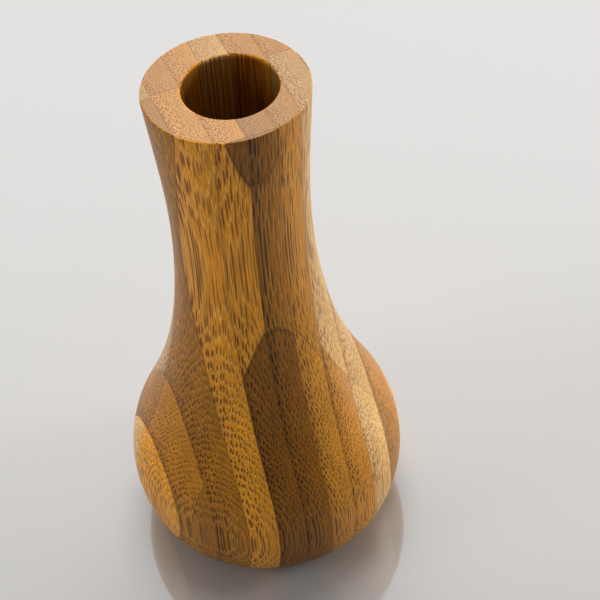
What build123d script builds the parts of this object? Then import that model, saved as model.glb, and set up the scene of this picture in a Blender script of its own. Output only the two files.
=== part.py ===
from build123d import *
import os
from math import cos, radians, sin, tan

os.makedirs("parts", exist_ok=True)

# Bamboo bud vase, turned from a block of laminated bamboo strips.
# Millimetres. The origin is the centre of the foot, on the surface it stands on, and +Z is up.
# The photograph was taken from the -Y side, with +X to its right.

# The turned form. The bulb is a ball. One smooth curve leads from it over the shoulder and the waist
# of the neck to the flare at the rim, and a tighter arc turns it under to the foot. Each point is a
# radius and a height, and turns are in degrees.
HEIGHT = 138.6
BELLY_RADIUS = 35.0
BELLY_HEIGHT = 19.2
BELLY_TURN = 27.4
SHOULDER_POINT = (21.3, 60.0)
WAIST_POINT = (16.6, 99.0)
RIM_POINT = (19.1, HEIGHT)
FLARE_TURN = 4.7
UNDER_TURN = 21.0
FOOT_ARC = 9.0
FOOT_TURN = 29.0
RIM_EDGE_BREAK = 0.3

# The hole for the stem. It was bored a little to the right of the turned axis, so the wall is
# thicker on the left. Its depth and its end can't be seen.
BORE_RADIUS = 11.0
BORE_DEPTH = 110.0
BORE_SHIFT = 1.0
DRILL_POINT_ANGLE = 118.0
MOUTH_BREAK = 0.5

# The laminated block. Layers stand side by side along the block's X, and in each layer strips lie
# edge to edge along its Y, from the front to the back. The block is turned in plan, and leans
# by half a degree from the axis that it was turned on.
BLOCK_TURN = 19.0
BLOCK_LEAN = 0.46
BLOCK_HALF = 40.0
BLOCK_SPARE = 5.0
LAYER_THICKNESS = 6.9
STRIP_WIDTH = 22.1

# The glue plane between layers 6 and 7, where it meets the floor, is the one the others are set from.
DATUM_LAYER = 6
DATUM_JOINT = 3.6

# Glue joints between the strips, in mm behind the turned axis, for each layer from left to right.
# The joints of neighbouring layers are a millimetre or two out of line, as the panels were laid.
FRONT_JOINT = {2: -20.4, 3: -18.3, 4: -17.7, 5: -17.7, 6: -17.9, 7: -17.6, 8: -16.4, 9: -16.0, 10: -15.8}
MIDDLE_JOINT = {1: 3.7, 2: 2.0, 3: 4.0, 4: 4.5, 5: 0.8, 6: 3.6, 7: 2.2, 8: 5.6, 9: 6.1, 10: 6.4, 11: 6.2}
BACK_JOINT = {layer: MIDDLE_JOINT[layer] + STRIP_WIDTH for layer in range(3, 9)}
LAYERS = sorted(MIDDLE_JOINT)

# Where the neck cuts a strip in two, the lower end stays in the bulb and the upper end at the rim.
END_NAMES = ("bulb", "rim")

block_plane = Plane.XY.rotated((0, BLOCK_LEAN, BLOCK_TURN), ordering=Extrinsic.XYZ)


# The turned form, with its hole, before it is parted into strips
with BuildPart() as turned_form:
    with BuildSketch(Plane.XZ):
        with BuildLine():
            ball = CenterArc((0, BELLY_HEIGHT), BELLY_RADIUS, -UNDER_TURN, UNDER_TURN + BELLY_TURN)
            flare = (sin(radians(FLARE_TURN)), cos(radians(FLARE_TURN)))
            Spline(ball @ 1, SHOULDER_POINT, WAIST_POINT, RIM_POINT, tangents=(ball % 1, flare))
            foot = JernArc(ball @ 0, -(ball % 0), FOOT_ARC, -FOOT_TURN)
            foot_end = foot @ 1
            foot_radius = foot_end.X - foot_end.Y * tan(radians(UNDER_TURN + FOOT_TURN))
            Polyline(RIM_POINT, (0, HEIGHT), (0, 0), (foot_radius, 0), foot_end)
        make_face()
    revolve(axis=Axis.Z)
    with BuildSketch(Plane.XZ):
        with BuildLine():
            bore_floor = HEIGHT - BORE_DEPTH
            drill_point = BORE_RADIUS / tan(radians(DRILL_POINT_ANGLE / 2))
            Polyline(
                (BORE_SHIFT, HEIGHT),
                (BORE_SHIFT + BORE_RADIUS, HEIGHT),
                (BORE_SHIFT + BORE_RADIUS, bore_floor),
                (BORE_SHIFT, bore_floor - drill_point),
                close=True,
            )
        make_face()
    revolve(axis=Axis((BORE_SHIFT, 0, 0), (0, 0, 1)), mode=Mode.SUBTRACT)
    chamfer(edges().group_by(Axis.Z)[-1].sort_by(SortBy.LENGTH)[0], MOUTH_BREAK)
    chamfer(edges().group_by(Axis.Z)[-1].sort_by(SortBy.LENGTH)[-1], RIM_EDGE_BREAK)


def layer_sides(layer):
    """Left and right face of a layer, in the block's X, where they meet the floor."""
    right = DATUM_JOINT + (layer - DATUM_LAYER) * LAYER_THICKNESS
    left = right - LAYER_THICKNESS
    if layer == LAYERS[0]:
        left = -BLOCK_HALF
    if layer == LAYERS[-1]:
        right = BLOCK_HALF
    return left, right


def strips_of_layer(layer):
    """Name, front edge and back edge of each strip of a layer, in the block's Y."""
    joints = [("mid_front", MIDDLE_JOINT[layer]), ("mid_back", BACK_JOINT.get(layer, BLOCK_HALF))]
    if layer in FRONT_JOINT:
        joints.insert(0, ("front", FRONT_JOINT[layer]))
    if layer in BACK_JOINT:
        joints.append(("back", BLOCK_HALF))
    front_edge = -BLOCK_HALF
    for row, back_edge in joints:
        yield row, front_edge, back_edge
        front_edge = back_edge


def export_piece(solid, name):
    """Label one finished piece and write it to its own file."""
    with BuildPart() as piece:
        add(solid)
    piece.part.label = name
    export_step(piece.part, f"parts/{name}.step")
    print(f"{name}: {piece.part.volume / 1000:.2f} cm3")


# Each strip of the block, as far as the turned form leaves it standing
volume_left = turned_form.part.volume
piece_count = 0
for layer in LAYERS:
    left, right = layer_sides(layer)
    for row, front_edge, back_edge in strips_of_layer(layer):
        with BuildPart() as strip:
            with BuildSketch(block_plane.offset(-BLOCK_SPARE)):
                with Locations(((left + right) / 2, (front_edge + back_edge) / 2)):
                    Rectangle(right - left, back_edge - front_edge)
            extrude(amount=HEIGHT + 2 * BLOCK_SPARE)
            add(turned_form.part, mode=Mode.INTERSECT)
        name = f"layer_{layer:02d}_{row}_strip"
        pieces = strip.part.solids().sort_by(Axis.Z)
        if len(pieces) == 1:
            export_piece(pieces[0], name)
        else:
            for solid, end in zip(pieces, END_NAMES):
                export_piece(solid, f"{name}_{end}")
        piece_count += len(pieces)
        volume_left -= strip.part.volume

print(f"{piece_count} pieces, {turned_form.part.volume / 1000:.1f} cm3 of bamboo")
print(f"volume the pieces don't account for: {volume_left:.4f} mm3")
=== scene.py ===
# %% [markdown]
# # Bamboo bud vase
# A small vase for one stem, turned on a lathe from a block of laminated bamboo. The block is built
# from flat strips that are glued face to face and edge to edge, so the turned surface shows bands
# that curve over the bulb, and each band has its own colour and grain.
#
# The order of work is the maker's: glue up the block, turn it to the outline, bore the hole for the
# stem, and finish it. Blender takes the steps the other way round. It turns the form first, then
# parts it along the glue planes, because every strip then carries an exact piece of one surface.

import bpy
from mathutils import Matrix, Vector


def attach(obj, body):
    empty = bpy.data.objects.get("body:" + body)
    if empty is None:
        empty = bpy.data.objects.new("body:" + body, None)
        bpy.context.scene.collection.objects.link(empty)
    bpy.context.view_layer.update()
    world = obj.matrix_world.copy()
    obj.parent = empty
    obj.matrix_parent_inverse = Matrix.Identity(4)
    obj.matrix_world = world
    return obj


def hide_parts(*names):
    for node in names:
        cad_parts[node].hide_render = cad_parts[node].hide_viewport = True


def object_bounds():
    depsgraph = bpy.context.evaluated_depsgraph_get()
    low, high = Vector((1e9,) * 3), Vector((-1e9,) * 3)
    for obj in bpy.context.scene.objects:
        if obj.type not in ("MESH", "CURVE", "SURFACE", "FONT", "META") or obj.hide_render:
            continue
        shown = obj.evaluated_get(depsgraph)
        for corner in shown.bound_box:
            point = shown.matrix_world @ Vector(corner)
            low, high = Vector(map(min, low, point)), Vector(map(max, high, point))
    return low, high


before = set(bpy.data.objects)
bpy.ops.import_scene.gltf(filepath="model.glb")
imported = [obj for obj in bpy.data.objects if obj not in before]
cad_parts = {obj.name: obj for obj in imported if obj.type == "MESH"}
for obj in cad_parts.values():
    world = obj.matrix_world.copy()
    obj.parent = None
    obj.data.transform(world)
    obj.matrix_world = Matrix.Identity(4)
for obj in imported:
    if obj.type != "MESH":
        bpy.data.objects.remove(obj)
cad_low, cad_high = [tuple(corner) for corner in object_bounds()]
print("CAD box in mm:", [round((b - a) * 1000, 1) for a, b in zip(cad_low, cad_high)])

# %% Libraries and units
from math import cos, degrees, radians, sin, tan

import bmesh
import bpy
from mathutils import Matrix, Vector

MM = 0.001
CM3 = 0.000001

# %% [markdown]
# ## Two helpers for node trees
# A finish is written as the colour that a paint card would give it. Blender's nodes want linear
# light, so one function turns the card's number into that. The other adds a node, sets it and
# joins it up in one line, which keeps the long trees below readable.

# %% Colours and nodes
MATH = "ShaderNodeMath"
VECTOR = "ShaderNodeVectorMath"
SPLIT = "ShaderNodeSeparateXYZ"
JOIN = "ShaderNodeCombineXYZ"
RANGE = "ShaderNodeMapRange"
MIX = "ShaderNodeMix"
NOISE = "ShaderNodeTexNoise"


def linear(card):
    """A colour such as "C8A060" as the linear red, green, blue and alpha that nodes take."""
    channels = [int(card[i:i + 2], 16) / 255 for i in (0, 2, 4)]
    light = [c / 12.92 if c <= 0.04045 else ((c + 0.055) / 1.055) ** 2.4 for c in channels]
    return (*light, 1.0)


def add(tree, kind, inputs=None, **settings):
    """Adds a node. An input is a plain value, an output, or a node, whose first output is taken."""
    node = tree.nodes.new(kind)
    for name, value in settings.items():
        setattr(node, name, value)
    for socket, value in (inputs or {}).items():
        if isinstance(value, bpy.types.Node):
            value = value.outputs[0]
        if isinstance(value, bpy.types.NodeSocket):
            tree.links.new(value, node.inputs[socket])
        else:
            node.inputs[socket].default_value = value
    return node


# %% [markdown]
# ## The outline
# A turner works to a template of half the vase. This one is drawn by a pen that goes forward along
# a line, an arc or a smooth curve, always leaving in the direction in which it arrived. It starts
# at the middle of the foot, goes out and up round the bulb, over the shoulder, up the neck to the
# rim, across the rim and down the bore. A curve drawn this way has no accidental corners, which a
# list of points would have.
#
# The hole was bored a millimetre to one side of the turned axis. The template is a curve in space,
# and its Y says how far the axis has moved, so the rim leads from one axis to the other.

# %% Sizes of the turned form, in mm and degrees
# A heading is the direction of the outline at a point, counted from straight out. A pair of handles
# says how far a curve keeps to its direction, where it starts and where it ends.
HEIGHT = (cad_high[2] - cad_low[2]) / MM
BELLY_RADIUS = 35.0
BELLY_HEIGHT = 19.2
BELLY_TURN = 27.4
UNDER_TURN = 21.0
FOOT_ARC = 9.0
FOOT_TURN = 29.0
SHOULDER_POINT = (21.3, 60.0)
SHOULDER_HEADING = 104.9
SHOULDER_HANDLES = (9.0, 8.9)
WAIST_POINT = (16.6, 99.0)
WAIST_HEADING = 90.3
WAIST_HANDLES = (13.2, 12.0)
RIM_RADIUS = 19.1
RIM_HEADING = 85.3
RIM_HANDLES = (12.1, 17.4)
BORE_RADIUS = 11.0
BORE_DEPTH = 110.0
BORE_SHIFT = 1.0
DRILL_POINT = 6.6
FOOT_EASE = 0.8
RIM_EASE = 0.45
MOUTH_EASE = 0.55
STEPS_PER_KNOT = 16


# %% The pen that draws the outline
class Pen:
    """Draws the outline as knots: a point, the shift of its axis and the handles in and out."""

    def __init__(self, radius, height, heading):
        self.at = Vector((radius, height))
        self.heading = heading
        self.shift = 0.0
        self.knots = []
        self.put(self.at, 0.0)

    def way(self):
        """The direction of travel."""
        return Vector((cos(radians(self.heading)), sin(radians(self.heading))))

    def put(self, point, length_in):
        """Adds a knot. Its handle out stays where the knot is until the next move sets it."""
        self.at = Vector(point)
        handle_in = self.at - self.way() * length_in
        self.knots.append([self.at.copy(), self.shift, handle_in, self.at.copy()])

    def line_to(self, radius, height, shift=0.0):
        """A straight line. The axis moves by shift on the way."""
        step = Vector((radius, height)) - self.at
        self.knots[-1][3] = self.at + step / 3
        self.heading -= degrees(self.way().angle_signed(step))
        self.shift += shift
        self.put((radius, height), step.length / 3)

    def arc(self, radius, turn):
        """An arc to the left. Drawn as two halves, it is true to a few thousandths of a mm."""
        for _ in range(2):
            half = turn / 2
            length = 4 / 3 * tan(radians(half) / 4) * radius
            centre = self.at + Vector((-self.way().y, self.way().x)) * radius
            self.knots[-1][3] = self.at + self.way() * length
            self.heading += half
            self.put(centre + Vector((self.way().y, -self.way().x)) * radius, length)

    def curve_to(self, point, heading, length_out, length_in):
        """A smooth curve that arrives with the given heading."""
        self.knots[-1][3] = self.at + self.way() * length_out
        self.heading = heading
        self.put(point, length_in)


# %% Draw the outline
# Where the arc under the bulb starts, and where its straight run down meets the table
foot_heading = 90 - UNDER_TURN - FOOT_TURN
foot_start = Vector((cos(radians(UNDER_TURN)), -sin(radians(UNDER_TURN))))
foot_start *= BELLY_RADIUS - FOOT_ARC
foot_start += Vector((0, BELLY_HEIGHT))
foot_start += Vector((sin(radians(foot_heading)), -cos(radians(foot_heading)))) * FOOT_ARC
foot_radius = foot_start.x - foot_start.y / tan(radians(foot_heading))

# How much the soft edges take off the foot and the rim
ease_run = FOOT_EASE * tan(radians(foot_heading / 2))
rim_drop = RIM_EASE * (1 + cos(radians(RIM_HEADING)))
rim_start = (RIM_RADIUS - rim_drop / tan(radians(RIM_HEADING)), HEIGHT - rim_drop)

pen = Pen(0.0, 0.0, 0.0)
pen.line_to(foot_radius - ease_run, 0.0)
pen.arc(FOOT_EASE, foot_heading)
pen.line_to(*foot_start)
pen.arc(FOOT_ARC, FOOT_TURN)
pen.arc(BELLY_RADIUS, UNDER_TURN + BELLY_TURN)
pen.curve_to(SHOULDER_POINT, SHOULDER_HEADING, *SHOULDER_HANDLES)
pen.curve_to(WAIST_POINT, WAIST_HEADING, *WAIST_HANDLES)
pen.curve_to(rim_start, RIM_HEADING, *RIM_HANDLES)
pen.arc(RIM_EASE, 180 - RIM_HEADING)
pen.line_to(BORE_RADIUS + MOUTH_EASE, HEIGHT, shift=BORE_SHIFT)
pen.arc(MOUTH_EASE, 90)
pen.line_to(BORE_RADIUS, HEIGHT - BORE_DEPTH)
pen.line_to(0.0, HEIGHT - BORE_DEPTH - DRILL_POINT)

outline = bpy.data.curves.new("turning_outline", "CURVE")
outline.dimensions = "3D"
outline.resolution_u = STEPS_PER_KNOT
spline = outline.splines.new("BEZIER")
spline.bezier_points.add(len(pen.knots) - 1)
for knot, (point, shift, handle_in, handle_out) in zip(spline.bezier_points, pen.knots):
    knot.handle_left_type = knot.handle_right_type = "FREE"
    knot.co = Vector((point.x, shift, point.y)) * MM
    knot.handle_left = Vector((handle_in.x, shift, handle_in.y)) * MM
    knot.handle_right = Vector((handle_out.x, shift, handle_out.y)) * MM
template = bpy.data.objects.new("turning_outline", outline)
bpy.context.collection.objects.link(template)
print(f"outline of {len(pen.knots)} knots, foot radius {foot_radius:.1f} mm")

# %% [markdown]
# ## Turning
# On a lathe every point of the outline sweeps a circle. Blender's Screw modifier does that too, but
# this bore has its own axis. So a Geometry Nodes tree lays a flat grid, with one row for each point
# of the outline and one column for each step round, and moves each grid point to its place by the
# rule radius x cosine + shift, radius x sine, height. Merging by distance closes the seam and
# the two poles, and the result is one closed skin from the foot to the bottom of the bore.

# %% The tree that turns an outline
def turning_tree():
    tree = bpy.data.node_groups.new("turn_on_the_lathe", "GeometryNodeTree")
    face = tree.interface
    face.new_socket("Outline", in_out="INPUT", socket_type="NodeSocketGeometry")
    steps = face.new_socket("Steps round", in_out="INPUT", socket_type="NodeSocketInt")
    close = face.new_socket("Closing distance", in_out="INPUT", socket_type="NodeSocketFloat")
    finish = face.new_socket("Finish", in_out="INPUT", socket_type="NodeSocketMaterial")
    face.new_socket("Turned form", in_out="OUTPUT", socket_type="NodeSocketGeometry")
    given = add(tree, "NodeGroupInput")

    # The outline as a chain of points, and how many there are
    chain = add(tree, "GeometryNodeCurveToMesh", {"Curve": given.outputs["Outline"]})
    size = add(tree, "GeometryNodeAttributeDomainSize", {"Geometry": chain}, component="MESH")
    rows = size.outputs["Point Count"]
    turns = given.outputs["Steps round"]
    columns = add(tree, MATH, {0: turns, 1: 1.0}, operation="ADD")
    grid = add(tree, "GeometryNodeMeshGrid", {"Vertices X": columns, "Vertices Y": rows})

    # Which row and column a grid point is in
    index = add(tree, "GeometryNodeInputIndex")
    row = add(tree, MATH, {0: index, 1: rows}, operation="MODULO")
    column = add(tree, MATH, {0: index, 1: rows}, operation="DIVIDE")
    column = add(tree, MATH, {0: column}, operation="FLOOR")
    turn = add(tree, MATH, {0: column, 1: turns}, operation="DIVIDE")
    angle = add(tree, MATH, {0: turn, 1: radians(360)}, operation="MULTIPLY")

    # Its place. The outline's point holds the radius, the shift of the axis and the height
    here = add(tree, "GeometryNodeInputPosition")
    reads = {"Geometry": chain, "Value": here, "Index": row}
    point = add(tree, "GeometryNodeSampleIndex", reads, data_type="FLOAT_VECTOR", domain="POINT")
    radius, shift, height = add(tree, SPLIT, {0: point}).outputs
    cosine = add(tree, MATH, {0: angle}, operation="COSINE")
    sine = add(tree, MATH, {0: angle}, operation="SINE")
    x = add(tree, MATH, {0: radius, 1: cosine, 2: shift}, operation="MULTIPLY_ADD")
    y = add(tree, MATH, {0: radius, 1: sine}, operation="MULTIPLY")
    place = add(tree, JOIN, {"X": x, "Y": y, "Z": height})

    # One closed skin with a bare finish
    swept = add(tree, "GeometryNodeSetPosition", {"Geometry": grid, "Position": place})
    closing = {"Geometry": swept, "Distance": given.outputs["Closing distance"]}
    closed = add(tree, "GeometryNodeMergeByDistance", closing)
    real = add(tree, "GeometryNodeRealizeInstances", {"Geometry": closed})
    dressing = {"Geometry": real, "Material": given.outputs["Finish"]}
    dressed = add(tree, "GeometryNodeSetMaterial", dressing)
    add(tree, "NodeGroupOutput", {"Turned form": dressed})
    return tree, {"steps": steps.identifier, "close": close.identifier, "finish": finish.identifier}


# %% Turn the form and make it a plain mesh
STEPS_ROUND = 320
CLOSING_DISTANCE = 0.002 * MM

tree, sockets = turning_tree()
blank_finish = bpy.data.materials.new("bare_blank")
lathe = template.modifiers.new("lathe", "NODES")
lathe.node_group = tree
lathe[sockets["steps"]] = STEPS_ROUND
lathe[sockets["close"]] = CLOSING_DISTANCE
lathe[sockets["finish"]] = blank_finish
evaluated = template.evaluated_get(bpy.context.evaluated_depsgraph_get())
turned_mesh = bpy.data.meshes.new_from_object(evaluated)
bpy.data.objects.remove(template)

turned = bmesh.new()
turned.from_mesh(turned_mesh)
if turned.calc_volume(signed=True) < 0:
    bmesh.ops.reverse_faces(turned, faces=turned.faces)
turned.normal_update()
open_edges = sum(not edge.is_manifold for edge in turned.edges)
print(f"turned form: {len(turned.faces)} faces, {open_edges} open edges")
print(f"bamboo left by the lathe: {turned.calc_volume() / CM3:.1f} cm3")

# %% [markdown]
# ## The laminated block
# Eleven layers stand side by side, each as thick as a planed bamboo strip, and in every layer the
# strips lie edge to edge. The layers run through the vase at an angle to the viewer and lean by
# half a degree, because the block wasn't quite square on the lathe. Where the neck is narrower
# than a strip is deep, the cut leaves that strip as two ends, one in the bulb and one at the rim.
#
# A Boolean for each strip would be slow and would redraw the surface. Slicing with planes keeps
# every point of the turned skin, and each slice is closed with a flat glue face.

# %% Where the glue joints are, in mm and degrees
# A joint between two strips of a layer is given by how far it lies behind the turned axis.
BLOCK_TURN = 19.0
BLOCK_LEAN = 0.46
BLOCK_HALF = 40.0
LAYER_THICKNESS = 6.9
STRIP_WIDTH = 22.1
DATUM_LAYER = 6
DATUM_JOINT = 3.6
FRONT_JOINT = {
    2: -20.4, 3: -18.3, 4: -17.7, 5: -17.7, 6: -17.9, 7: -17.6, 8: -16.4, 9: -16.0, 10: -15.8
}
MIDDLE_JOINT = {
    1: 3.7, 2: 2.0, 3: 4.0, 4: 4.5, 5: 0.8, 6: 3.6, 7: 2.2, 8: 5.6, 9: 6.1, 10: 6.4, 11: 6.2
}
BACK_JOINT = {layer: MIDDLE_JOINT[layer] + STRIP_WIDTH for layer in range(3, 9)}

block = Matrix.Rotation(radians(BLOCK_TURN), 3, "Z") @ Matrix.Rotation(radians(BLOCK_LEAN), 3, "Y")
to_block = block.transposed()
ACROSS = block @ Vector((1, 0, 0))
ALONG = block @ Vector((0, 1, 0))


def right_face(layer):
    """Place of a layer's right face along the block's X."""
    return DATUM_JOINT + (layer - DATUM_LAYER) * LAYER_THICKNESS


def strips_of_layer(layer):
    """Name, front edge and back edge of each strip of a layer, along the block's Y."""
    joints = [("mid_front", MIDDLE_JOINT[layer]), ("mid_back", BACK_JOINT.get(layer, BLOCK_HALF))]
    if layer in FRONT_JOINT:
        joints.insert(0, ("front", FRONT_JOINT[layer]))
    if layer in BACK_JOINT:
        joints.append(("back", BLOCK_HALF))
    front_edge = -BLOCK_HALF
    for row, back_edge in joints:
        yield row, front_edge, back_edge
        front_edge = back_edge


# %% [markdown]
# ## Parting along a glue plane
# A slice cuts one closed solid with a plane, keeps one side and fills the cut. Before the first
# cut, the direction in which the turned skin faces is written on every point. The cuts share it
# out, so neighbouring strips shade as the one smooth surface that they were sanded to.

# %% Slice, fill, and keep the turned direction
ON_THE_PLANE = 0.00001 * MM

facing = turned.verts.layers.float_vector.new("turned_facing")
skin = turned.faces.layers.int.new("turned_skin")
for vert in turned.verts:
    vert[facing] = vert.normal
for face in turned.faces:
    face[skin] = 1


def keep_side(solid, place, direction):
    """Cuts a bmesh with the plane at a place along direction, and keeps the side ahead of it."""
    cut = bmesh.ops.bisect_plane(
        solid,
        geom=solid.verts[:] + solid.edges[:] + solid.faces[:],
        dist=ON_THE_PLANE,
        plane_co=direction * (place * MM),
        plane_no=direction,
        clear_inner=True,
    )
    rim = [part for part in cut["geom_cut"] if isinstance(part, bmesh.types.BMEdge)]
    rim = [edge for edge in rim if len(edge.link_faces) == 1]
    bmesh.ops.triangle_fill(solid, edges=rim, use_beauty=True, normal=-direction)


def between(solid, low, high, direction):
    """A copy of a bmesh between two planes. A place at the end of the block needs no cut."""
    part = solid.copy()
    if low > -BLOCK_HALF:
        keep_side(part, low, direction)
    if high < BLOCK_HALF:
        keep_side(part, -high, -direction)
    return part


def loose_pieces(solid):
    """The connected pieces of a bmesh as lists of faces, lowest first."""
    found, seen = [], set()
    for start in solid.faces:
        if start in seen:
            continue
        seen.add(start)
        group = [start]
        for face in group:
            for edge in face.edges:
                for other in edge.link_faces:
                    if other not in seen:
                        seen.add(other)
                        group.append(other)
        found.append(group)
    return sorted(found, key=lambda group: min(v.co.z for f in group for v in f.verts))


# %% [markdown]
# ## Writing the grain on each strip
# Bamboo has no rings. Its stem is a ground of pale tissue with dark bundles of fibre running
# straight up it, large and far apart towards the hollow of the stem, small and close towards its
# skin. A strip keeps that order from one face to the other. So every point of a strip gets its
# own place in the strip, in millimetres, and the finish below reads it as a solid pattern.

# %% Make one strip an object
def make_strip(name, solid, faces, left_face, front_edge, back_edge, seed, look):
    """An object from some faces of a bmesh, with its grain, joints and shading written on it."""
    spacing, inner_edge, tone = look
    verts = {v: i for i, v in enumerate(dict.fromkeys(v for f in faces for v in f.verts))}
    mesh = bpy.data.meshes.new(name)
    mesh.from_pydata([v.co for v in verts], [], [[verts[v] for v in f.verts] for f in faces])

    # What the finish reads at every point: its place in the strip, how far it is from the joints in
    # front and behind, and what is the same all over the strip
    grain, joint, strip = [], [], []
    for v in verts:
        across, along, up = (to_block @ v.co) / MM
        grain += [across - left_face, along, up]
        joint += [along - front_edge, back_edge - along, tone]
        strip += [seed, spacing, inner_edge]
    for label, values in (("grain", grain), ("joint", joint), ("strip", strip)):
        mesh.attributes.new(label, "FLOAT_VECTOR", "POINT").data.foreach_set("vector", values)

    # The turned skin shades as it did before the cuts, and the glue faces are flat
    mesh.shade_smooth()
    facing = solid.verts.layers.float_vector["turned_facing"]
    skin = solid.faces.layers.int["turned_skin"]
    directions = []
    for f in faces:
        directions += [v[facing].normalized() if f[skin] else f.normal for v in f.verts]
    mesh.normals_split_custom_set(directions)
    piece = bpy.data.objects.new(name, mesh)
    bpy.context.collection.objects.link(piece)
    return piece


# %% [markdown]
# ## Which strip is which
# Strips are sorted by eye before they are glued: pale ones cut from the inside of the stem, golden
# ones, and brown ones that were steamed for longer. The maker laid them as they came. Each strip
# below has its finish, the spacing of its fibre bundles in mm, how dark its inner edge is, and its
# own tone, as a share of the finish's brightness. The inner edge is where the largest bundles are.

# %% The lay-up, from left to right and from front to back
LAY_UP = {
    1: {"mid_front": ("gold", 1.20, 0.3, 1.08), "mid_back": ("pale", 1.11, 0.2, 1.01)},
    2: {
        "front": ("brown", 1.05, 0.3, 1.05),
        "mid_front": ("amber", 1.00, 0.7, 1.00),
        "mid_back": ("brown", 1.05, 0.5, 1.02),
    },
    3: {
        "front": ("brown", 1.08, 0.4, 1.14),
        "mid_front": ("brown", 1.08, 0.5, 1.02),
        "mid_back": ("pale", 1.05, 0.3, 0.78),
        "back": ("gold", 1.11, 0.3, 0.98),
    },
    4: {
        "front": ("gold", 1.22, 0.2, 1.20),
        "mid_front": ("gold", 1.20, 0.2, 1.10),
        "mid_back": ("amber", 1.08, 0.4, 1.12),
        "back": ("brown", 1.11, 0.4, 1.00),
    },
    5: {
        "front": ("dark", 1.11, 0.8, 1.05),
        "mid_front": ("gold", 1.17, 0.6, 1.18),
        "mid_back": ("gold", 1.11, 0.3, 1.05),
        "back": ("pale", 1.14, 0.2, 0.90),
    },
    6: {
        "front": ("dark", 1.16, 0.7, 1.05),
        "mid_front": ("brown", 1.14, 0.8, 1.03),
        "mid_back": ("pale", 1.11, 0.4, 1.08),
        "back": ("amber", 1.05, 0.4, 1.02),
    },
    7: {
        "front": ("gold", 1.14, 0.5, 0.78),
        "mid_front": ("gold", 1.17, 0.5, 0.72),
        "mid_back": ("amber", 1.08, 0.3, 1.20),
        "back": ("dark", 1.11, 0.6, 1.10),
    },
    8: {
        "front": ("amber", 1.12, 0.9, 1.08),
        "mid_front": ("pale", 1.11, 0.4, 0.86),
        "mid_back": ("amber", 1.17, 0.5, 1.20),
        "back": ("gold", 1.08, 0.3, 0.90),
    },
    9: {
        "front": ("pale", 1.14, 0.5, 0.92),
        "mid_front": ("pale", 1.16, 0.6, 0.80),
        "mid_back": ("brown", 1.08, 0.4, 1.10),
    },
    10: {
        "front": ("brown", 1.08, 0.5, 1.03),
        "mid_front": ("amber", 1.14, 0.9, 0.92),
        "mid_back": ("gold", 1.11, 0.4, 0.95),
    },
    11: {"mid_front": ("gold", 1.14, 0.3, 1.04), "mid_back": ("brown", 1.11, 0.3, 1.00)},
}

# %% Part the form into its strips
pieces = {}
seed = 0
for layer, rows in LAY_UP.items():
    low = right_face(layer - 1) if layer > 1 else -BLOCK_HALF
    high = right_face(layer) if layer < len(LAY_UP) else BLOCK_HALF
    left_face = right_face(layer) - LAYER_THICKNESS
    slab = between(turned, low, high, ACROSS)
    for row, front_edge, back_edge in strips_of_layer(layer):
        finish, *look = rows[row]
        seed += 1
        part = between(slab, front_edge, back_edge, ALONG)
        part.normal_update()
        node = f"layer_{layer:02d}_{row}_strip"
        nodes = [node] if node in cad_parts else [f"{node}_bulb", f"{node}_rim"]
        found = loose_pieces(part)
        if len(found) != len(nodes):
            print(f"{node} should be {len(nodes)} pieces and is {len(found)}")
        for node, group in zip(nodes, found):
            name = node.replace("layer", "bamboo").replace("_strip", "")
            piece = make_strip(name, part, group, left_face, front_edge, back_edge, seed, look)
            pieces[node] = (piece, finish)
        part.free()
    slab.free()
turned.free()
face_count = sum(len(piece.data.polygons) for piece, _ in pieces.values())
print(f"{len(pieces)} pieces of bamboo, {face_count} faces")

# %% [markdown]
# ## The pattern of bamboo
# What shows on sanded bamboo are the bundles of fibre. Where the surface runs across them, as on
# the bulb, each one is a dark dot with paler tissue beside it, and where it runs along them, as in
# the neck, it is a streak. One solid pattern gives both, with no image and no seam, as long as it
# depends on the place across the stem and hardly on the height.
#
# Bundles stand in staggered rows. A Voronoi texture finds the nearest one: it works on a square
# grid, so the rows are sheared into it and each offset is sheared back. Its randomness is kept
# down, since the stem spaces its bundles evenly. Each bundle grew a little larger or smaller.

# %% Nearest bundle, as a dark core and the pale tissue beside it
# Lengths are in bundle spacings.
ROW_PITCH = 0.46
ROW_STAGGER = 0.5
UNEVENNESS = 0.55
BUNDLE_GROWTH = {"To Min": 0.75, "To Max": 1.2}
CORE_FADE = {"From Min": -0.055, "From Max": 0.055}
TISSUE_OFFSET = (0.14, 0.09, 0.0)
TISSUE_FADE = {"From Min": 0.34, "From Max": 0.10}


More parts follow.
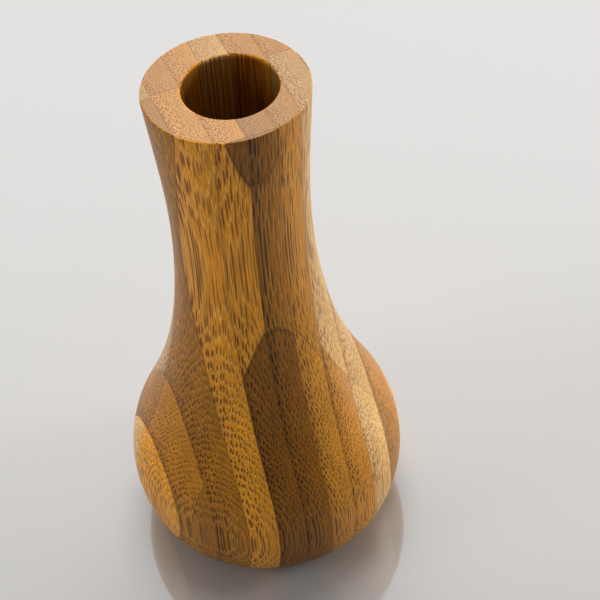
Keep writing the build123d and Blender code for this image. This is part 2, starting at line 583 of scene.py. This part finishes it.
def bundles(tree, place, spacing, core):
    """Core and tissue, from 0 to 1. Place and spacing are in mm, and core is in spacings."""
    # The grid in which the Voronoi texture finds the nearest bundle
    across, along, _ = add(tree, SPLIT, {0: place}).outputs
    row = add(tree, MATH, {0: along, 1: spacing}, operation="DIVIDE")
    row = add(tree, MATH, {0: row, 1: ROW_PITCH}, operation="DIVIDE")
    column = add(tree, MATH, {0: across, 1: spacing}, operation="DIVIDE")
    column = add(tree, MATH, {0: row, 1: ROW_STAGGER, 2: column}, operation="MULTIPLY_ADD")
    grid = add(tree, JOIN, {"X": column, "Y": row})
    cells = {"Vector": grid, "Scale": 1.0, "Randomness": UNEVENNESS}
    cells = add(tree, "ShaderNodeTexVoronoi", cells, voronoi_dimensions="2D").outputs

    # How far away it really is
    offset = add(tree, VECTOR, {0: grid, 1: cells["Position"]}, operation="SUBTRACT")
    columns, rows, _ = add(tree, SPLIT, {0: offset}).outputs
    across = add(tree, MATH, {0: rows, 1: -ROW_STAGGER, 2: columns}, operation="MULTIPLY_ADD")
    along = add(tree, MATH, {0: rows, 1: ROW_PITCH}, operation="MULTIPLY")
    offset = add(tree, JOIN, {"X": across, "Y": along})
    distance = add(tree, VECTOR, {0: offset}, operation="LENGTH").outputs["Value"]

    # Its dark core
    luck = add(tree, "ShaderNodeSeparateColor", {0: cells["Color"]}).outputs[0]
    growth = add(tree, RANGE, {"Value": luck, **BUNDLE_GROWTH})
    radius = add(tree, MATH, {0: core, 1: growth}, operation="MULTIPLY")
    depth = add(tree, MATH, {0: radius, 1: distance}, operation="SUBTRACT")
    dark = add(tree, RANGE, {"Value": depth, **CORE_FADE}, interpolation_type="SMOOTHSTEP")

    # The tissue to one side of it
    beside = add(tree, VECTOR, {0: offset, 1: TISSUE_OFFSET}, operation="ADD")
    beside = add(tree, VECTOR, {0: beside}, operation="LENGTH").outputs["Value"]
    tissue = add(tree, RANGE, {"Value": beside, **TISSUE_FADE}, interpolation_type="SMOOTHSTEP")
    return dark, tissue


# %% [markdown]
# ## One tree for five finishes
# Sanded bamboo under a thin coat of satin lacquer: the lacquer deepens the colour, fills the pores
# and leaves a soft highlight. All strips share one tree, and a finish only changes its colours.
#
# In every strip the side that faced the hollow of the stem has large, dark, open bundles in greyish
# tissue, and the side that faced the skin has small close ones in warmer tissue. The pattern is
# squeezed towards that side. Between the bundles run fine threads, under slow clouds of tone.
#
# The rim and the foot show the sawn ends of the fibres, which take less lacquer and stay paler,
# pinker and duller. The wall of the hole is left dull as the drill leaves it, and its colour is
# darkened, partly for the drill's burnished brown and partly as painted shade, since little light
# gets down the hole. The soft edge of the mouth, which was sanded with the rim, is left out of it.

# %% The grain, in mm
# Sizes with three numbers are across the strip, along its width and up the stem.
SEED_STEP = (13.7, 5.3, 91.0)
NOISE_MIDDLE = (0.5, 0.5, 0.5)
SWAY = (0.9, 0.9, 0.0)
SWAY_SIZE = (9.0, 9.0, 32.0)
THREAD_SIZE = (0.24, 0.24, 9.0)
CLOUD_SIZE = (3.2, 3.2, 70.0)
SQUEEZE_PER_MM = 0.02
SQUEEZE_FROM = 0.95

# From the hollow side of the strip to the skin side: radius of a bundle in spacings, and darkness
CORE_RADIUS = {"To Min": 0.21, "To Max": 0.16}
CORE_DARKNESS = {"To Min": 1.0, "To Max": 0.62}

# %% How strong each part of the finish is
# Each range reads a noise, a direction or a place in mm, and gives a share.
THREAD_LEVEL = {"From Min": 0.25, "From Max": 0.75, "To Min": 0.58, "To Max": 1.34}
CLOUD_LEVEL = {"From Min": 0.3, "From Max": 0.7, "To Min": 0.86, "To Max": 1.10}
THREAD_ROUGHNESS = {"From Min": 0.2, "From Max": 0.8, "To Min": 0.36, "To Max": 0.46}
SAWN_FACE = {"From Min": 0.93, "From Max": 0.99}
INNER_EDGE = {"From Min": 1.3, "From Max": 0.2}
BORE_WALL = {"From Min": BORE_RADIUS + 0.2, "From Max": BORE_RADIUS + 0.05}
ABOVE_FOOT = {"From Min": 0.5, "From Max": 1.5}
BELOW_MOUTH = {"From Min": HEIGHT - 0.3, "From Max": HEIGHT - 1.2}
GLUE_LINE = {"From Min": 0.135, "From Max": 0.045, "To Max": 0.4}

TISSUE_SHARE = 0.55
EDGE_SHARE = 0.5
SAWN_SHARE = 0.62
SAWN_BUNDLE_SHARE = 0.46
BUNDLE_SINK = -0.7
DULLNESS = 0.28
RELIEF = {"Strength": 0.3, "Distance": 0.03 * MM}

# %% Colours that all five finishes share
HOLLOW_SIDE = (0.97, 0.96, 0.96, 1.0)
SKIN_SIDE = (1.04, 1.0, 0.78, 1.0)
SAWN_GROUND = "B49579"
SAWN_BUNDLE = "80503A"
# Darkens the wall of the hole: partly the drill's burnish, partly painted shade of the deep hole
BURNISH_AND_BORE_SHADE = (0.44, 0.40, 0.25)
GLUE = "4A2C12"
LACQUER = {"IOR": 1.5, "Specular IOR Level": 0.42, "Specular Tint": linear("FFEFC8")}


# %% The bamboo finish
def bamboo(name, ground, bundle, pale):
    """A finish from three colours: the ground, the bundles, and the pale tissue beside them."""
    material = bpy.data.materials.new(name)
    material.use_nodes = True
    tree = material.node_tree
    tree.nodes.clear()
    grain = add(tree, "ShaderNodeAttribute", attribute_name="grain").outputs["Vector"]
    joint = add(tree, "ShaderNodeAttribute", attribute_name="joint").outputs["Vector"]
    strip = add(tree, "ShaderNodeAttribute", attribute_name="strip").outputs["Vector"]
    across, along, up = add(tree, SPLIT, {0: grain}).outputs
    to_front, to_back, tone = add(tree, SPLIT, {0: joint}).outputs
    seed, spacing, inner_edge = add(tree, SPLIT, {0: strip}).outputs
    skinward = add(tree, MATH, {0: across, 1: LAYER_THICKNESS}, operation="DIVIDE")

    # Every strip was cut from another stem, so its pattern starts elsewhere
    start = add(tree, JOIN, {"X": seed, "Y": seed, "Z": seed})
    start = add(tree, VECTOR, {0: start, 1: SEED_STEP}, operation="MULTIPLY")

    # The fibres sway on their way up, and stand closer towards the skin
    slow = add(tree, VECTOR, {0: grain, 1: start}, operation="ADD")
    slow = add(tree, VECTOR, {0: slow, 1: SWAY_SIZE}, operation="DIVIDE")
    sway = add(tree, NOISE, {"Vector": slow, "Scale": 1.0, "Detail": 1.0}).outputs["Color"]
    sway = add(tree, VECTOR, {0: sway, 1: NOISE_MIDDLE}, operation="SUBTRACT")
    sway = add(tree, VECTOR, {0: sway, 1: SWAY}, operation="MULTIPLY")
    squeeze = {0: across, 1: SQUEEZE_PER_MM, 2: SQUEEZE_FROM}
    squeezed = add(tree, MATH, squeeze, operation="MULTIPLY_ADD")
    squeezed = add(tree, MATH, {0: squeezed, 1: across}, operation="MULTIPLY")
    place = add(tree, JOIN, {"X": squeezed, "Y": along, "Z": up})
    place = add(tree, VECTOR, {0: place, 1: start}, operation="ADD")
    place = add(tree, VECTOR, {0: place, 1: sway}, operation="ADD")

    # Where the sawn ends of the fibres show, on the rim and the foot
    facing = add(tree, "ShaderNodeTexCoord").outputs["Normal"]
    upright = add(tree, SPLIT, {0: facing}).outputs["Z"]
    upright = add(tree, MATH, {0: upright}, operation="ABSOLUTE")
    sawn = add(tree, RANGE, {"Value": upright, **SAWN_FACE})

    # The bundles
    core = add(tree, RANGE, {"Value": skinward, **CORE_RADIUS})
    dark, tissue = bundles(tree, place, spacing, core)
    darkness = add(tree, RANGE, {"Value": skinward, **CORE_DARKNESS})
    dark = add(tree, MATH, {0: dark, 1: darkness}, operation="MULTIPLY")

    # How bright the ground is: fine threads, slow clouds, and the tone of the whole strip
    fine = add(tree, VECTOR, {0: place, 1: THREAD_SIZE}, operation="DIVIDE")
    threads = add(tree, NOISE, {"Vector": fine, "Scale": 1.0, "Detail": 2.0})
    wide = add(tree, VECTOR, {0: place, 1: CLOUD_SIZE}, operation="DIVIDE")
    clouds = add(tree, NOISE, {"Vector": wide, "Scale": 1.0, "Detail": 2.0})
    level = add(tree, RANGE, {"Value": threads, **THREAD_LEVEL})
    cloud = add(tree, RANGE, {"Value": clouds, **CLOUD_LEVEL})
    level = add(tree, MATH, {0: level, 1: cloud}, operation="MULTIPLY")
    level = add(tree, MATH, {0: level, 1: tone}, operation="MULTIPLY")

    # Colour: ground, pale tissue, bundle, and the warm or grey side of the strip
    lit = add(tree, MATH, {0: tissue, 1: TISSUE_SHARE}, operation="MULTIPLY")
    mixed = {0: lit, 6: linear(ground), 7: linear(pale)}
    colour = add(tree, MIX, mixed, data_type="RGBA").outputs[2]
    mixed = {0: dark, 6: colour, 7: linear(bundle)}
    colour = add(tree, MIX, mixed, data_type="RGBA").outputs[2]
    mixed = {0: skinward, 6: HOLLOW_SIDE, 7: SKIN_SIDE}
    side = add(tree, MIX, mixed, data_type="RGBA").outputs[2]
    colour = add(tree, VECTOR, {0: colour, 1: side}, operation="MULTIPLY")
    colour = add(tree, VECTOR, {0: colour, 1: level}, operation="MULTIPLY")

    # The inner edge of the strip, with the largest bundles
    edge = add(tree, RANGE, {"Value": across, **INNER_EDGE})
    edge = add(tree, MATH, {0: edge, 1: inner_edge}, operation="MULTIPLY")
    edge = add(tree, MATH, {0: edge, 1: EDGE_SHARE}, operation="MULTIPLY")
    mixed = {0: edge, 6: colour, 7: linear(bundle)}
    colour = add(tree, MIX, mixed, data_type="RGBA").outputs[2]

    # Sawn ends
    mixed = {0: SAWN_SHARE, 6: colour, 7: linear(SAWN_GROUND)}
    end = add(tree, MIX, mixed, data_type="RGBA").outputs[2]
    end_dark = add(tree, MATH, {0: dark, 1: SAWN_BUNDLE_SHARE}, operation="MULTIPLY")
    mixed = {0: end_dark, 6: end, 7: linear(SAWN_BUNDLE)}
    end = add(tree, MIX, mixed, data_type="RGBA").outputs[2]
    mixed = {0: sawn, 6: colour, 7: end}
    colour = add(tree, MIX, mixed, data_type="RGBA").outputs[2]

    # The wall of the hole, by its distance from the axis of the bore and its height, darkened
    # partly for the drill's burnish and partly as painted shade of the deep hole
    here = add(tree, "ShaderNodeTexCoord").outputs["Object"]
    here = add(tree, VECTOR, {0: here, 1: (BORE_SHIFT * MM, 0.0, 0.0)}, operation="SUBTRACT")
    here = add(tree, VECTOR, {0: here, 1: (1 / MM, 1 / MM, 0.0)}, operation="MULTIPLY")
    from_axis = add(tree, VECTOR, {0: here}, operation="LENGTH").outputs["Value"]
    bored = add(tree, RANGE, {"Value": from_axis, **BORE_WALL})
    for limits in (ABOVE_FOOT, BELOW_MOUTH):
        inside = add(tree, RANGE, {"Value": up, **limits})
        bored = add(tree, MATH, {0: bored, 1: inside}, operation="MULTIPLY")
    burnt_and_shaded = add(tree, VECTOR, {0: colour, 1: BURNISH_AND_BORE_SHADE}, operation="MULTIPLY")
    mixed = {0: bored, 6: colour, 7: burnt_and_shaded}
    colour = add(tree, MIX, mixed, data_type="RGBA").outputs[2]

    # A hairline of dark glue where strips meet
    right = add(tree, MATH, {0: LAYER_THICKNESS, 1: across}, operation="SUBTRACT")
    nearest = across
    for distance in (right, to_front, to_back):
        nearest = add(tree, MATH, {0: nearest, 1: distance}, operation="MINIMUM")
    line = add(tree, RANGE, {"Value": nearest, **GLUE_LINE})
    mixed = {0: line, 6: colour, 7: linear(GLUE)}
    colour = add(tree, MIX, mixed, data_type="RGBA").outputs[2]

    # Satin lacquer, duller on the sawn ends and in the hole, over a slight relief
    relief = {0: dark, 1: BUNDLE_SINK, 2: threads}
    relief = add(tree, MATH, relief, operation="MULTIPLY_ADD")
    bump = add(tree, "ShaderNodeBump", {"Height": relief, **RELIEF})
    dull = add(tree, MATH, {0: sawn, 1: bored}, operation="MAXIMUM")
    rough = add(tree, RANGE, {"Value": threads, **THREAD_ROUGHNESS})
    rough = add(tree, MATH, {0: dull, 1: DULLNESS, 2: rough}, operation="MULTIPLY_ADD")
    surface = {"Base Color": colour, "Roughness": rough, "Normal": bump, **LACQUER}
    shader = add(tree, "ShaderNodeBsdfPrincipled", surface)
    add(tree, "ShaderNodeOutputMaterial", {"Surface": shader})
    return material


# %% Mix the five finishes
# Ground, bundles and pale tissue
FINISHES = {
    "pale": ("E4B26E", "965A22", "FFDEA4"),
    "gold": ("E29626", "783E08", "F4C064"),
    "amber": ("C27E1E", "643206", "E6AC56"),
    "brown": ("AB6D12", "4E2608", "D0A058"),
    "dark": ("935909", "321804", "B68038"),
}
materials = {
    finish: bamboo(f"{finish}_bamboo_satin_lacquer", *cards) for finish, cards in FINISHES.items()
}
for node, (piece, finish) in pieces.items():
    piece.data.materials.append(materials[finish])
    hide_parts(node)
    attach(piece, "root")
print("finishes:", ", ".join(materials))

# %% [markdown]
# ## Floor and light
# The vase stands on a pale sheet of polished acrylic that mirrors it softly. Three soft boxes light
# it: a large one above and behind, a low narrow one on the right that draws the highlight on the
# bulb, and a weak one on the left. Only the right one is mirrored: the others would show as white
# patches in the floor from the side and from above.

# %% The floor
FLOOR_HALF = 2.0
ACRYLIC = {"Base Color": linear("B2B0AE"), "Roughness": 0.05, "IOR": 2.45}

material = bpy.data.materials.new("polished_pale_acrylic")
material.use_nodes = True
shader = material.node_tree.nodes["Principled BSDF"]
for socket, value in ACRYLIC.items():
    shader.inputs[socket].default_value = value

corners = [(x * FLOOR_HALF, y * FLOOR_HALF, 0) for x, y in ((-1, -1), (1, -1), (1, 1), (-1, 1))]
sheet = bpy.data.meshes.new("floor")
sheet.from_pydata(corners, [], [(0, 1, 2, 3)])
sheet.materials.append(material)
floor = bpy.data.objects.new("floor", sheet)
bpy.context.collection.objects.link(floor)


# %% The soft boxes, in m and W
def soft_box(name, place, aim, size, power, mirrored):
    """A lamp as a rectangle at place that shines towards aim. The floor may mirror it or not."""
    lamp = bpy.data.lights.new(name, "AREA")
    lamp.shape = "RECTANGLE"
    lamp.size, lamp.size_y = size
    lamp.energy = power
    box = bpy.data.objects.new(name, lamp)
    box.location = place
    box.rotation_euler = (Vector(aim) - Vector(place)).to_track_quat("-Z", "Y").to_euler()
    box.visible_glossy = mirrored
    bpy.context.collection.objects.link(box)


NECK = (0, 0, 0.07)
BULB = (0, 0, 0.05)
soft_box("soft_box_above", (0.05, 0.45, 1.25), NECK, (0.6, 0.55), 10.5, mirrored=False)
soft_box("soft_box_right", (0.8, 0.13, 0.13), BULB, (0.18, 0.5), 5.2, mirrored=True)
soft_box("soft_box_left", (-0.9, -0.25, 0.45), BULB, (0.4, 0.6), 2.8, mirrored=False)

# %% [markdown]
# ## The room
# The wall behind the vase is white, and the room in front of it is dimmer. The polished floor
# mirrors the wall, which gives the pale background its gradient.

# %% The room
TOWARD_WALL = (0.0, 0.95, -0.30)
ROOM_LIGHT = {"From Min": 0.0, "From Max": 0.58, "To Min": 0.22, "To Max": 1.60}
WHITE = (1.0, 1.0, 1.0, 1.0)

world = bpy.data.worlds.new("pale_room")
bpy.context.scene.world = world
world.use_nodes = True
room = world.node_tree
room.nodes.clear()
direction = add(room, "ShaderNodeTexCoord").outputs["Generated"]
toward = add(room, VECTOR, {0: direction, 1: TOWARD_WALL}, operation="DOT_PRODUCT")
brightness = {"Value": toward.outputs["Value"], **ROOM_LIGHT}
brightness = add(room, RANGE, brightness, interpolation_type="SMOOTHSTEP")
light = add(room, "ShaderNodeBackground", {"Color": WHITE, "Strength": brightness})
add(room, "ShaderNodeOutputWorld", {"Surface": light})

# %% [markdown]
# ## The camera
# The photographer stood above the vase and looked down on it at about 46 degrees, with a long lens
# and the camera tipped a little to one side.

# %% Set the camera, in m, with the lens and the sensor in mm
LENS = 115.1
SENSOR = 36.0
CAMERA_PLACE = Vector((0.01197, -0.32624, 0.40614))
CAMERA_RIGHT = Vector((0.99584, -0.06544, -0.06345))
CAMERA_UP = Vector((0.09115, 0.71491, 0.69320))

lens = bpy.data.cameras.new("photographer")
lens.lens = LENS
lens.sensor_width = SENSOR
camera = bpy.data.objects.new("photographer", lens)
axes = Matrix((CAMERA_RIGHT, CAMERA_UP, CAMERA_RIGHT.cross(CAMERA_UP))).transposed()
camera.matrix_world = Matrix.Translation(CAMERA_PLACE) @ axes.to_4x4()
bpy.context.collection.objects.link(camera)
bpy.context.scene.camera = camera
bpy.context.scene.view_settings.view_transform = "Standard"
